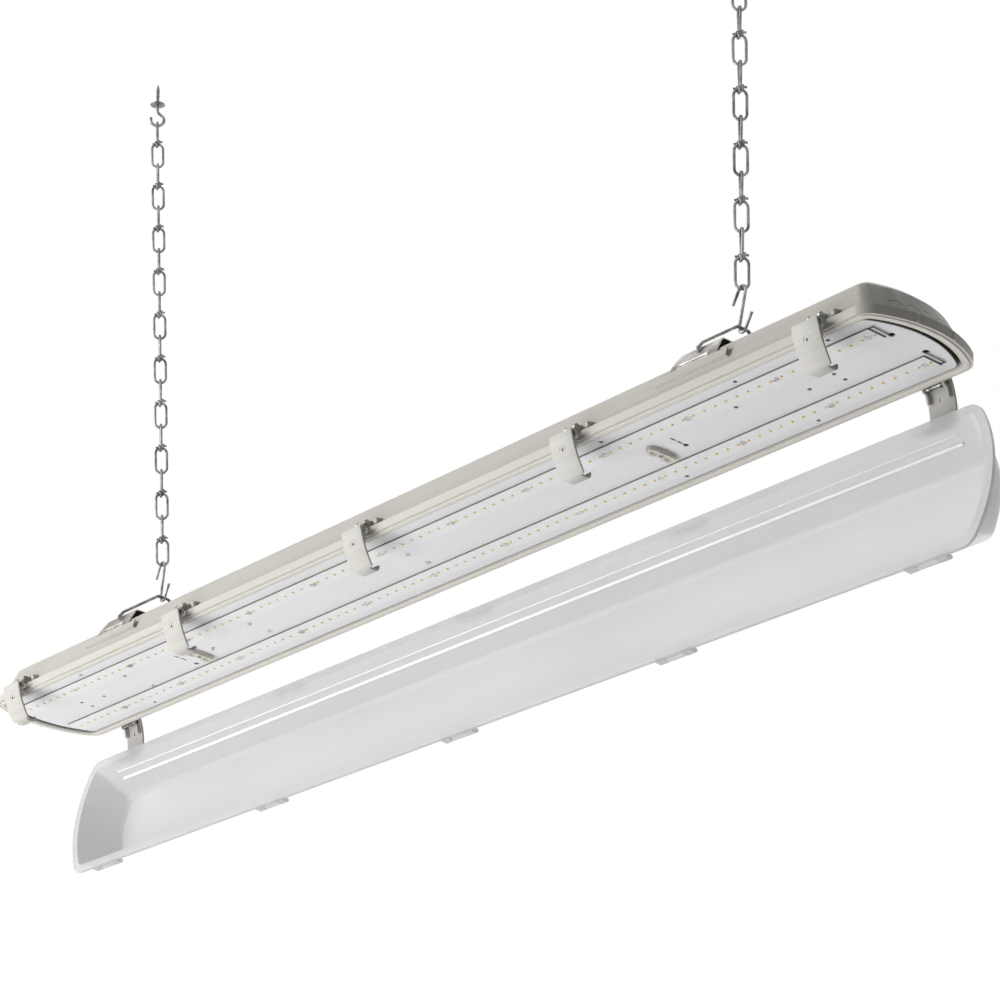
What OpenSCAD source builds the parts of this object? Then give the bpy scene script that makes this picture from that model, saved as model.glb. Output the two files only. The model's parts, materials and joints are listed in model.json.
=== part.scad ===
// Hanging shop light: an enclosed, gasketed linear light on two chains, drawn
// with its lens unlatched and hanging open from the two end latches of the far side.
// Frame: the origin is on the ceiling, midway between the two ceiling hooks, which stand
// a little wider than the brackets of the light.
// +X runs along the light, +Y goes to the side that carries the open lens, +Z is up.
// Housing pieces are written in the housing's own frame: z = 0 at the rim's lower face.

/* [Housing] */
// Length of the housing over its curved ends
housing_l = 1270; // [1250:10:1600]
// Width of the housing over its rim
housing_w = 125; // [120:1:150]
// How far each end bows out beyond its corners
end_bow = 20; // [14:1:26]
// Rounding of the rim's four corners
corner_r = 18; // [14:1:24]
// How much further the end walls lean in than the side walls
end_lean = 8; // [0:1:9]
// Height of the rim band
rim_h = 8; // [7:0.5:9]
// Height of the sloping walls above the rim plane
shoulder_h = 35; // [34:1:42]
// Height of the crown of the roof above the shoulder
roof_rise = 10; // [8:0.5:12]
// How far the walls lean in from the rim to the shoulder
wall_lean = 12; // [10:0.5:13]
// Wall thickness of the housing
housing_wall = 2.4; // [1.8:0.1:3]
// Width of the gasket groove in the rim
groove_w = 4.5; // [3.5:0.5:5]
// Width of the rim's outer lip
lip_w = 2.6; // [2:0.1:3.2]
// Depth of the gasket groove
groove_d = 5; // [4:0.5:6]
// How far the gasket stands out of the rim
gasket_proud = 1; // [0.5:0.1:1.2]

/* [Hangers] */
// Distance of each hanger from the housing's end
hanger_in = 217; // [215:1:300]
// Length of a saddle bracket at its feet
bracket_l = 54; // [46:1:70]
// Sheet thickness of a saddle bracket
bracket_t = 1.2; // [0.8:0.1:1.3]
// Gap between the roof's crown and the deck of a bracket
bracket_lift = 3; // [2:0.5:4]
// Radius of the bail wire
bail_r = 1.5; // [1.2:0.1:1.6]
// Height of the bail's apex above the rim plane
bail_z = 82; // [76:1:92]
// Radius of the wire of the hooks between bail and chain
hook_r = 1.4; // [1.1:0.1:1.5]
// Length of such a hook, from bend to bend
hook_l = 41; // [36:1:44]
// Tip of the housing towards its open side, where the lens pulls it down
tip = 6; // [0:0.5:9]

/* [Chains] */
// Number of links in each chain
links = 10; // [3:1:12]
// Length that each link adds to its chain
link_pitch = 51; // [48:0.5:56]
// Radius of the chain wire
link_r = 1.3; // [1:0.05:1.4]
// Width of a link's lower loop, from wire centre to wire centre
loop_w = 11.5; // [11:0.5:13]
// Height of a link's lower loop, from wire centre to wire centre
loop_h = 28; // [25:1:30]
// Turn of the wide loops about the chain, from the light's length
link_turn = 60; // [56:1:90]
// Lean of each chain outwards, up to its ceiling hook
splay = 3; // [0:0.5:5]
// Radius of the wire of a ceiling hook
ceiling_hook_r = 1.6; // [1.3:0.1:1.7]
// Length of a ceiling hook's screw above the ceiling
screw_l = 24; // [16:1:40]

/* [Latches] */
// Distance of the end latches from the housing's ends
latch_in = 69; // [66:1:90]
// Width of a latch lever
lever_w = 28; // [26:1:34]
// Thickness of a latch lever
lever_t = 2; // [1.6:0.1:2.2]
// How far the plate of a lever curves in towards its hook
lever_bow = 5.5; // [4:0.25:5.5]
// Height of a latch pin above the rim plane
pin_z = 13; // [12.5:0.5:14]
// How far a latch pin stands outside the rim
pin_out = 1; // [0.5:0.25:1.5]
// Radius of a latch pin
pin_r = 1.5; // [1.3:0.1:1.6]
// Length of a latch link from pin to lever pivot
link_l = 11.5; // [11:0.25:12.5]
// Angle of a link below the horizontal when it is open
link_open = 58; // [54:1:60]
// Angle of a link above the horizontal when it is closed
link_closed = 70; // [66:1:72]
// Lean of the free near levers towards the light
near_lean = 19; // [14:1:21]

/* [Lens] */
// Wall thickness of the lens
lens_t = 2; // [1.5:0.1:2.5]
// Thickness of the lens flange
flange_t = 3; // [2.5:0.1:3.5]
// Depth of the lens below its flange
lens_depth = 40; // [32:1:46]
// Width of the lens flange on each side
flange_w = 8; // [7.5:0.25:8.5]
// How far the lens walls lean in from the flange to the floor
lens_lean = 19; // [10:0.5:20]
// Lean of the hanging lens towards the near side
hang_lean = 10; // [6:1:12]

/* [Gear] */
// Gap all round between the gear tray and the rim
tray_clear = 1; // [0.8:0.1:2]
// Extra gap at each end of the tray, where the hand takes hold of it
tray_cut = 4; // [0:0.5:5]
// Sheet thickness of the gear tray
tray_t = 1; // [0.8:0.1:1.2]
// Height of the gear tray's side flanges
tray_flange_h = 12; // [8:1:14]
// Distance between the two light-emitting boards
board_gap = 62; // [58:1:66]
// Width of a board
board_w = 20; // [17:1:21]
// Thickness of a board
board_t = 1.6; // [1:0.1:1.8]
// Number of emitters on a board
emitters = 96; // [48:12:96]
// Distance between the two turn latches of the tray
turn_span = 664; // [640:2:700]
// Length of the wing of a turn latch
wing_l = 31; // [26:1:33]
// Width of that wing
wing_w = 11; // [9:0.5:12]
// Width of the driver
driver_w = 40; // [30:1:46]
// Height of the driver
driver_h = 22; // [16:1:26]
// Length of the driver
driver_l = 230; // [160:5:260]

/* [Hidden] */

eps = 0.01;
rest_gap = 0.3;          // between pieces that hang in each other
pin_clear = 0.06;        // round a hinge pin in its eye
wire_n = 6;              // sides of a bent wire

// Plan of the housing
half_l = housing_l / 2;
half_w = housing_w / 2;
end_r = (half_w * half_w + end_bow * end_bow) / (2 * end_bow);
inner_lip = 2;                                       // lip between groove and opening
opening_in = lip_w + groove_w + inner_lip;           // inset of the rim's opening
wall_foot = 4;                                       // inset of the wall where it leaves the rim
roof_in = wall_lean + 8;                             // inset of the roof's edge
roof_edge_h = shoulder_h + 0.65 * roof_rise;
crown_in = wall_lean + 22;                           // inset of the roof's flat crown
roof_h = shoulder_h + roof_rise;
wall_slope = atan((wall_lean - wall_foot) / (shoulder_h - rim_h));
function corner_x(inset) =
    half_l - end_r + sqrt(pow(end_r - inset, 2) - pow(half_w - inset, 2));
function wall_w(z) = half_w - wall_foot - (z - rim_h) * tan(wall_slope);
hub_r = 9;
hub_z = 21;
hub_seat = 21;                                       // inner face of the hub's boss, from the end
hub_face = half_l - 3;
rail_z = 24;
rail_l = 85;

// Hangers and chains, in the housing's frame
hanger_span = housing_l - 2 * hanger_in;
hanger_xs = [-hanger_span / 2, hanger_span / 2];
bail_foot_w = wall_w(shoulder_h) + 0.5;
bail_foot_z = shoulder_h + 8;
hook_bend_r = 2.6 + hook_r;                          // wire centre of the hooks' bends
hook_z = bail_z - bail_r - hook_r - 0.1;             // lower bend of a hook
hook_top_z = hook_z + hook_l;
hook_cross = asin(1 / (hook_l / (2 * hook_bend_r) - 1));
hook_flare = 31;                                     // lean of the two open ends
hook_end = 15;                                       // length of the two open ends
first_link_z = hook_top_z - hook_r - rest_gap - link_r;
wire_step = 2 * link_r + rest_gap;                   // between the crossing wires of two links
link_h = link_pitch + wire_step;
upper_r = 3.9;                                       // half width of a link's upper loop
chain_top_z = first_link_z + link_pitch * (links - 1) + link_h;
shank_l = 6;                                         // straight part of a ceiling hook
kink_r = 4;
kink_a = 50;                                         // kink above a ceiling hook's bend
crook_r = 7;                                         // that bend
kink_l = (crook_r * cos(kink_a) - kink_r * (1 - cos(kink_a))) / sin(kink_a);
plate_t = 2;
plain_l = 8.5;                                       // unthreaded part of the screw
thread_core_r = ceiling_hook_r - 0.5;
crook_drop = plate_t + shank_l + kink_l * cos(kink_a) + (kink_r + crook_r) * sin(kink_a) + crook_r;
chain_l = chain_top_z - bail_z;                      // from bail to ceiling hook
ceiling_z = bail_z + chain_l * cos(splay) - link_r - rest_gap - ceiling_hook_r + crook_drop;
ceiling_x = hanger_span / 2 + chain_l * sin(splay);

// Latch geometry in a plane across the light: w is the distance outwards from the centre
latch_pitch = (housing_l - 2 * latch_in) / 4;
latch_xs = [for (i = [-2:2]) i * latch_pitch];
pin_w = half_w + pin_out;
function link_end(angle) = [pin_w + link_l * cos(angle), pin_z + link_l * sin(angle)];
pivot_open = link_end(-link_open);
pivot_closed = link_end(link_closed);
bar_r = 2;                                           // crossbar between two lens lugs
bar_drop = 6;                                        // crossbar centre below the flange
seal_gap = gasket_proud + rest_gap;                  // closed lens below the rim plane
bar_w = half_w - bar_r - 0.5;                        // closed crossbar from the centre line
flange_z = -seal_gap - flange_t;                     // lower face of the closed lens flange
bar_z = flange_z - bar_drop;
seat = [bar_w - pivot_closed[0], bar_z - pivot_closed[1]];   // hook seat from the lever pivot
far_lean = tip + atan(seat[0] / seat[1]);            // the load pulls the seat under the pivot
bar_open = pivot_open + norm(seat) * [sin(tip), -cos(tip)];  // crossbar of the hanging lens
folded = 188;                                        // turn of the folded middle levers
boss_w = 8;
link_arm = 2.4;
link_side = boss_w / 2 + 0.4;
eye_r = 2.8;
barrel_half = link_side + link_arm + 1.5;
ear_t = 2.2;
ear_x = barrel_half + 0.4;
plate_in = 4;                                        // lever plate outside its pivot
tail = 3.2;                                          // lever plate above its pivot
lever_hole_z = -11;
hook_half = 9.6;                                     // half width of a lever's hook
curl_r = bar_r + rest_gap;                           // inside of the hook's curl
lug_l = 10;
lug_x = hook_half + 1.6;

// Lens in its closed place
lens_in = 0.5;
lens_turn = 90 - hang_lean + tip;                    // from closed to hanging
bead_in = 50;                                        // its beads stop short of its ends

// Gear tray
tray_in = opening_in + tray_clear;
tray_half_w = half_w - tray_in;
tray_z = 0.6;                                        // lower face of the tray
tray_top = tray_z + tray_t;
board_right = corner_x(tray_in) - 10;
board_left = corner_x(tray_in) - 2;
board_len = board_right + board_left;
emitter_w = 2.8;
emitter_h = 0.7;
screw_r = 1.4;
board_screw_pitch = board_len / 12;
emitter_pitch = board_len / emitters;
board_screw_xs = [for (i = [0:11]) board_right - 0.75 * emitter_pitch - i * board_screw_pitch];
stem_r = 4;
post_r = 7.5;
post_z = tray_top + 0.4;
turn_shift = 8;                                      // the turn latches sit to the left of the middle
turn_xs = [-turn_span / 2 - turn_shift, turn_span / 2 - turn_shift];
strip_y = (board_gap + board_w + 2 * tray_half_w) / 4;   // middle of the tray outside a board
driver_x = -120;
driver_end = driver_l / 2;
driver_ear = 12;
driver_screw_xs = [driver_x - driver_end - driver_ear / 2, driver_x + driver_end + driver_ear / 2];
driver_screw_y = driver_w / 2 - 8;
block_in = 50;                                       // terminal block, inwards from the left turn latch
block_x = turn_xs[0] + block_in;
ground_x = block_x - 28;
lead_pad_ys = [-board_gap / 2 - 10, board_gap / 2 + 9];  // where the leads come off the boards
lead_ys = [-20, 18];                                 // where they pass through the tray
lead_x = board_right + 5;
lead_r = 0.5;

// ---------------------------------------------------------------- shared shapes

// Frame of the housing, tipped about the lower bends of its hooks
module from_rim() {
    translate([0, 0, hook_z - ceiling_z])
        rotate([-tip, 0, 0])
            translate([0, 0, -hook_z]) children();
}

// Frame of one chain and its hook, with its axis through the bail at x = 0
module from_bail(x) {
    translate([x, 0, bail_z - ceiling_z])
        rotate([0, x > 0 ? splay : -splay, 0])
            translate([0, 0, -bail_z]) children();
}

// Bend of a wire that comes along +Z and turns by a degrees towards +X
module bend(bend_r, wire_r, a) {
    s = a > 0 ? 1 : -1;
    translate([s * bend_r, 0, 0])
        rotate([90, 0, 0])
            rotate([0, 0, a > 0 ? 180 - a : 0])
                rotate_extrude(angle = abs(a), $fn = 96)
                    translate([bend_r, 0]) circle(r = wire_r, $fn = wire_n);
}

// Straight part of a wire, a hair thicker where it laps into its bends
module straight(h, wire_r, lap) {
    translate([0, 0, -lap]) cylinder(h = h + 2 * lap, r = wire_r + 0.4 * lap, $fn = wire_n);
}

// Wire made of straight parts [0, length] and bends [radius, angle]
module wire(steps, wire_r, lap = 0.05, i = 0) {
    if (i < len(steps)) {
        s = steps[i];
        if (s[0] == 0) {
            straight(s[1], wire_r, lap);
            translate([0, 0, s[1]]) wire(steps, wire_r, lap, i + 1);
        } else {
            t = s[1] > 0 ? 1 : -1;
            bend(s[0], wire_r, s[1]);
            translate([t * s[0] * (1 - cos(s[1])), 0, s[0] * sin(abs(s[1]))])
                rotate([0, s[1], 0]) wire(steps, wire_r, lap, i + 1);
        }
    }
}

// Straight bar of wire from one point to another
module rod(a, b, wire_r) {
    d = b - a;
    translate(a)
        rotate([0, acos(d[2] / norm(d)), atan2(d[1], d[0])])
            cylinder(h = norm(d), r = wire_r, $fn = wire_n);
}

// Wire through a list of points in the XZ plane, with rounded corners
module wire_through(p, bend_r, wire_r) {
    n = len(p) - 1;
    h = [for (i = [0:n - 1]) atan2(p[i + 1][0] - p[i][0], p[i + 1][1] - p[i][1])];
    a = [for (i = [0:n]) i == 0 || i == n ? 0 : h[i] - h[i - 1]];
    t = [for (i = [0:n]) bend_r * tan(abs(a[i]) / 2)];
    for (i = [0:n - 1])
        translate([p[i][0], 0, p[i][1]])
            rotate([0, h[i], 0])
                translate([0, 0, t[i]])
                    straight(norm(p[i + 1] - p[i]) - t[i] - t[i + 1], wire_r, 0.05);
    for (i = [1:n - 1])
        translate([p[i][0], 0, p[i][1]])
            rotate([0, h[i - 1], 0])
                translate([0, 0, -t[i]])
                    bend(bend_r, wire_r, a[i]);
}

// Section of a folded sheet through a list of points
module strip(p, t) {
    for (i = [0:len(p) - 2]) {
        d = p[i + 1] - p[i];
        translate(p[i])
            rotate(atan2(d[1], d[0]))
                translate([0, -t / 2]) square([norm(d), t]);
    }
    for (i = [1:len(p) - 2])
        translate(p[i]) circle(d = t, $fn = 12);
}

// A section across the light, drawn as (w, z), stretched along the light
module along(x0, x1) {
    translate([x0, 0, 0]) rotate([90, 0, 90]) linear_extrude(height = x1 - x0) children();
}

// Round bar along the light
module axle(x0, x1, r, n = 48) {
    translate([x0, 0, 0]) rotate([0, 90, 0]) cylinder(h = x1 - x0, r = r, $fn = n);
}

// Round hole through a sheet that lies on the rim plane
module sheet_hole(x, y, r, n = 6) {
    translate([x, y, -3]) cylinder(h = 7, r = r, $fn = n);
}

// Something drawn on the far side, placed on either side
module on_side(x, side) {
    translate([x, 0, 0]) rotate([0, 0, side > 0 ? 0 : 180]) children();
}

// Points of an arc about c
function arc_points(c, r, a0, a1, n) =
    [for (i = [0:n]) c + r * [cos(a0 + (a1 - a0) * i / n), sin(a0 + (a1 - a0) * i / n)]];

// One end of the outline, inset all round: corner, bow and corner
function end_points(inset, cut) =
    let (q = max(corner_r - inset, 8))
    let (a = asin((half_w - inset - q) / (end_r - inset - q)))
    let (mid = [half_l - end_r - cut, 0])
    let (c = (end_r - inset - q) * [cos(a), sin(a)])
    concat(
        arc_points(mid + [c[0], -c[1]], q, -90, -a, 8),
        arc_points(mid, end_r - inset, -0.86 * a, 0.86 * a, 12),
        arc_points(mid + c, q, a, 90, 8)
    );

// Plan of the rim, inset all round and shortened by cut at both ends
module plan(inset, cut = 0) {
    p = end_points(inset, cut);
    polygon(concat(p, [for (v = p) -v]));
}

module slab(inset, z, cut = 0) {
    translate([0, 0, z]) linear_extrude(height = eps) plan(inset, cut);
}

// ---------------------------------------------------------------- ceiling and chains

module ceiling_hook(x) {
    color("silver")
        translate([x > 0 ? ceiling_x : -ceiling_x, 0, 0])
            rotate([0, 0, link_turn]) {
                cylinder(h = plain_l, r = ceiling_hook_r, $fn = 24);
                cylinder(h = screw_l - 6, r = thread_core_r, $fn = 24);
                translate([0, 0, screw_l - 6])
                    cylinder(h = 6, r1 = thread_core_r, r2 = 0.3, $fn = 24);
                for (z = [plain_l + 1:2.2:screw_l - 6])
                    translate([0, 0, z])
                        cylinder(h = 1, r1 = thread_core_r, r2 = ceiling_hook_r - eps, $fn = 24);
                translate([0, 0, -plate_t]) cylinder(h = plate_t, r = 8, $fn = 48);
                translate([0, 0, -plate_t])
                    rotate([180, 0, 0])
                        wire([[0, shank_l], [kink_r, kink_a], [0, kink_l], [crook_r, -250]], ceiling_hook_r);
            }
}

// One link: a wide lower loop, a slim upper loop square to it, and the wrapped knot
module chain_link() {
    lower_r = loop_w / 2;
    side_l = loop_h - 2 * lower_r;
    top = link_h - upper_r;
    translate([-lower_r, 0, lower_r])
        wire([[0, side_l], [lower_r, 180], [0, side_l], [lower_r, 180]], link_r, 0);
    for (s = [-1, 1])
        rod([0, s * 1.5, loop_h - 1.5], [0, s * upper_r, top], link_r);
    translate([0, 0, top])
        rotate([0, 0, 90]) translate([-upper_r, 0, 0]) bend(upper_r, link_r, 180);
    for (k = [-1, 1])
        translate([k * 1.6, 0, loop_h + 0.4 + k * 0.8])
            rotate([0, 90 + k * 16, 0])
                translate([0, 0, -1.2]) cylinder(h = 2.4, r = 3.7, $fn = 10);
    for (s = [-1, 1])
        rod([s * 1.5, -s * 2.5, loop_h - 0.5], [s * 6.4, -s * 2.1, loop_h + 1.6], link_r * 0.9);
}

module chain(x) {
    color("silver")
        from_bail(x)
            for (i = [0:links - 1])
                translate([0, 0, first_link_z + i * link_pitch])
                    rotate([0, 0, link_turn]) chain_link();
}

// Open wire hook: its lower bend takes the bail, its upper bend takes the chain
module s_hook(x) {
    a = 180 + hook_cross - hook_flare;
    mid = 2 * hook_bend_r / tan(hook_cross);
    top_x = -hook_bend_r * cos(hook_flare);
    top_z = hook_l - hook_bend_r + hook_bend_r * sin(hook_flare);
    steps = [[0, hook_end], [hook_bend_r, a], [0, mid], [hook_bend_r, -a], [0, hook_end]];
    color("lightgray")
        from_bail(x)
            translate([top_x, 0, hook_z + top_z])
                rotate([0, hook_flare, 0])
                    translate([0, 0, -hook_end]) wire(steps, hook_r);
}

// Spring wire over the roof, its feet turned in through the bracket's legs
module bail(x) {
    half = [
        [-bail_foot_w + 6, bail_foot_z], [-bail_foot_w, bail_foot_z],
        [-bail_foot_w + 7.5, bail_foot_z + 10], [-6, bail_z]
    ];
    other = [for (i = [3:-1:0]) [-half[i][0], half[i][1]]];
    color("gray")
        from_rim()
            translate([x, 0, 0])
                rotate([0, 0, 90]) wire_through(concat(half, other), 2.2, bail_r);
}

// Frame of a moulded rail, on the sloping wall
module at_rail(side) {
    rotate([0, 0, side > 0 ? 0 : 180])
        translate([0, wall_w(rail_z), rail_z])
            rotate([wall_slope, 0, 0]) children();
}

module bracket_side() {
    half = bracket_l / 2;
    polygon([
        [-half, 0], [half, 0], [half, shoulder_h], [half - 5, roof_h + 9],
        [-half + 5, roof_h + 9], [-half, shoulder_h]
    ]);
}

module bracket(x) {
    c = cos(wall_slope);
    s = sin(wall_slope);
    foot = [wall_w(rail_z) + 1.4 * c + 1.5 * s, rail_z + 1.4 * s - 1.5 * c];
    knee = [wall_w(shoulder_h) + 1.4 * c - 0.2, shoulder_h + 0.8];
    edge = [wall_w(shoulder_h) - 6, roof_h + bracket_lift - 0.5];
    deck = edge + [-2.5, 0.5 + bracket_t / 2];
    p = [foot, knee, edge, deck];
    m = [for (i = [3:-1:0]) [-p[i][0], p[i][1]]];
    color("lightgray")
        from_rim()
            translate([x, 0, 0])
                difference() {
                    intersection() {
                        along(-bracket_l / 2, bracket_l / 2) strip(concat(p, m), bracket_t);
                        rotate([90, 0, 0])
                            translate([0, 0, -housing_w / 2])
                                linear_extrude(height = housing_w) bracket_side();
                    }
                    translate([0, 0, bail_foot_z])
                        rotate([90, 0, 0])
                            cylinder(h = housing_w, r = bail_r + 0.3, center = true, $fn = 12);
                    for (i = [-1, 1])
                        translate([i * 14, 0, 0]) {
                            cylinder(h = roof_h + 20, r = 2.5, $fn = 12);
                            translate([0, 0, shoulder_h - 4])
                                rotate([90, 0, 0])
                                    cylinder(h = housing_w, r = 1.2, center = true, $fn = 8);
                        }
                }
}

// ---------------------------------------------------------------- housing

module boss_section() {
    translate([pin_w, pin_z]) circle(r = 2.5, $fn = 24);
    polygon([
        [wall_w(pin_z + 5) - 1, pin_z + 5], [pin_w, pin_z + 2.5],
        [pin_w, pin_z - 2.5], [wall_w(pin_z - 3) - 1, pin_z - 2.5]
    ]);
}

module rail() {
    difference() {
        translate([-rail_l / 2, -1, -4]) cube([rail_l, 4.6, 8]);
        translate([-rail_l / 2 - 1, 0.6, -2.5]) cube([rail_l + 2, 1.6, 7]);
    }
}

module housing() {
    color("silver")
        from_rim()
            difference() {
                union() {
                    linear_extrude(height = rim_h) plan(0);
                    hull() {
                        slab(wall_foot, rim_h - 1);
                        slab(wall_lean, shoulder_h - eps, end_lean);
                        slab(roof_in, roof_edge_h, end_lean);
                        slab(crown_in, roof_h - eps, end_lean);
                    }
                    for (side = [-1, 1]) {
                        for (x = latch_xs)
                            on_side(x, side) along(-boss_w / 2, boss_w / 2) boss_section();
                        for (x = hanger_xs) translate([x, 0, 0]) at_rail(side) rail();
                    }
                    translate([0, 0, hub_z]) axle(-hub_face, -half_l + hub_seat, hub_r + 4.5);
                }
                difference() {
                    union() {
                        translate([0, 0, -1]) linear_extrude(height = rim_h + 1) plan(opening_in);
                        hull() {
                            slab(wall_foot + housing_wall, rim_h - 2 * eps);
                            slab(wall_lean + housing_wall, shoulder_h - 1, end_lean);
                            slab(roof_in + housing_wall, roof_edge_h - housing_wall, end_lean);
                            slab(crown_in + 1, roof_h - housing_wall, end_lean);
                        }
                    }
                    for (x = turn_xs)
                        translate([x, 0, post_z])
                            cylinder(h = roof_h, r = post_r, $fn = 48);
                    translate([0, 0, hub_z]) axle(-half_l, -half_l + hub_seat, hub_r + 4.5);
                }
                for (x = turn_xs)
                    translate([x, 0, 0]) cylinder(h = 22, r = stem_r + 0.5, $fn = 48);
                translate([0, 0, hub_z]) axle(-half_l - 5, -half_l + 40, hub_r + 0.1);
                translate([0, 0, -eps])
                    linear_extrude(height = groove_d + eps)
                        difference() {
                            plan(lip_w);
                            plan(lip_w + groove_w);
                        }
                for (side = [-1, 1], x = latch_xs)
                    on_side(x, side) translate([0, pin_w, pin_z]) axle(-5, 5, pin_r, 24);
            }
}

module gasket() {
    color("dimgray")
        from_rim()
            translate([0, 0, -gasket_proud])
                linear_extrude(height = gasket_proud + groove_d - 0.1)
                    difference() {
                        plan(lip_w + 0.1);
                        plan(lip_w + groove_w - 0.1);
                    }
}

module conduit_hub() {
    color("gray")
        from_rim()
            translate([0, 0, hub_z])
                difference() {
                    union() {
                        axle(-half_l - 6, -hub_face - 0.1, hub_r + 4.5, 12);
                        axle(-hub_face - 0.2, -half_l + hub_seat + 10, hub_r);
                    }
                    axle(-half_l - 7, -half_l + hub_seat + 11, hub_r - 1.5);
                }
}

module hub_locknut() {
    nut_x = -half_l + hub_seat + 0.2;
    color("gray")
        from_rim()
            translate([0, 0, hub_z])
                difference() {
                    rotate([30, 0, 0]) axle(nut_x, nut_x + 4.8, hub_r + 3.8, 6);
                    axle(-half_l + hub_seat, -half_l + hub_seat + 6, hub_r + 0.05);
                }
}

// ---------------------------------------------------------------- latches

module latch_pins() {
    half = link_side + link_arm + 0.6;
    color("silver")
        from_rim()
            for (side = [-1, 1], x = latch_xs)
                on_side(x, side) translate([0, pin_w, pin_z]) axle(-half, half, pin_r, 24);
}

module link_arm_section() {
    circle(r = eye_r, $fn = 24);
    translate([0, -1.6]) square([link_l, 3.2]);
    translate([link_l, 0]) circle(r = eye_r, $fn = 24);
}

// Link: two arms on the pin, joined by the barrel that carries the lever's ears
module latch_link(x, side, angle) {
    end = ear_x + ear_t + 0.4;
    color("lightgray")
        from_rim()
            on_side(x, side)
                translate([0, pin_w, pin_z])
                    rotate([angle, 0, 0]) {
                        difference() {
                            for (s = [-1, 1])
                                translate([s * (link_side + link_arm / 2), 0, 0])
                                    along(-link_arm / 2, link_arm / 2) link_arm_section();
                            axle(-12, 12, pin_r + pin_clear, 24);
                        }
                        translate([0, link_l, 0]) {
                            axle(-barrel_half, barrel_half, 2.4, 12);
                            axle(-end, end, pin_r, 24);
                        }
                    }
}

module curl_section() {
    difference() {
        circle(r = curl_r + lever_t, $fn = 12);
        circle(r = curl_r, $fn = 12);
        translate([0, -9]) square([9, 18]);
        translate([-9, 0.8]) square([18, 9]);
    }
}

module ear_section(sheet) {
    circle(r = tail, $fn = 24);
    polygon([[0, tail], [sheet, tail], [sheet, -12], [plate_in - 0.6, -12], [-2.3, -2.2]]);
}

// Lever: a plate outside the pivot, two ears, and a hook under the lens crossbar
module latch_lever(x, side, pivot, angle) {
    sheet = plate_in + lever_t / 2;
    foot_z = seat[1] - curl_r - lever_t / 2;
    hook_root = [seat[0] - 0.3, foot_z];
    bow = [for (k = [0:0.2:1]) [sheet - lever_bow * pow(k, 3), tail + k * (foot_z + 2 - tail)]];
    color("gainsboro")
        from_rim()
            on_side(x, side)
                translate([0, pivot[0], pivot[1]])
                    rotate([angle, 0, 0])
                        difference() {
                            union() {
                                along(-lever_w / 2, lever_w / 2) strip(bow, lever_t);
                                along(-hook_half, hook_half) {
                                    strip([bow[4], bow[5], [seat[0] + 4, foot_z], hook_root], lever_t);
                                    translate(seat) curl_section();
                                }
                                for (x0 = [-ear_x - ear_t, ear_x])
                                    along(x0, x0 + ear_t) ear_section(sheet);
                            }
                            axle(-14, 14, pin_r + pin_clear, 24);
                            translate([0, 0, lever_hole_z])
                                rotate([-90, 0, 0]) cylinder(h = 12, r = 1.6, $fn = 12);
                        }
}

module near_link(i) latch_link(latch_xs[i - 1], -1, -link_open);
module near_lever(i) latch_lever(latch_xs[i - 1], -1, pivot_open, -near_lean);
module far_link(i) latch_link(latch_xs[i - 1], 1, i == 1 || i == 5 ? -link_open : link_closed);
module far_lever(i) {
    if (i == 1 || i == 5) {
        latch_lever(latch_xs[i - 1], 1, pivot_open, far_lean);
    } else {
        latch_lever(latch_xs[i - 1], 1, pivot_closed, folded);
    }
}

// ---------------------------------------------------------------- lens

module lug_section() {
    polygon([
        [bar_w - 4.6, flange_z + 0.2], [bar_w + bar_r, flange_z + 0.2], [bar_w + bar_r, bar_z - 1],
        [bar_w + 0.6, bar_z - 2.6], [bar_w - 1.6, bar_z - 2.6]
    ]);
}

module lens_closed() {
    top_in = lens_in + flange_w - lens_t;
    floor_in = top_in + lens_lean;
    floor_z = flange_z - lens_depth;
    difference() {
        union() {
            translate([0, 0, flange_z]) linear_extrude(height = flange_t) plan(lens_in);
            hull() {
                slab(top_in, flange_z + 0.5);
                slab(floor_in, floor_z + 5);
                slab(floor_in + 5, floor_z);
            }
        }
        hull() {
            slab(top_in + lens_t, flange_z + flange_t);
            slab(floor_in + lens_t - 0.5, floor_z + 6);
            slab(floor_in + lens_t + 4, floor_z + lens_t);
        }
    }
    for (side = [-1, 1])
        on_side(0, side)
            along(-half_l + bead_in, half_l - bead_in)
                translate([half_w - top_in - lens_t - 0.43 * lens_lean, flange_z - 0.41 * lens_depth])
                    square([2.4, 2.4], center = true);
    for (side = [-1, 1], x = latch_xs)
        on_side(x, side) {
            for (x0 = [-lug_x - lug_l, lug_x]) along(x0, x0 + lug_l) lug_section();
            translate([0, bar_w, bar_z]) axle(-lug_x - 1, lug_x + 1, bar_r, 24);
        }
}

module lens() {
    color("white", 0.7)
        from_rim()
            translate([0, bar_open[0], bar_open[1]])
                rotate([lens_turn, 0, 0])
                    translate([0, -bar_w, -bar_z]) lens_closed();
}

// ---------------------------------------------------------------- gear tray

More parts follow.
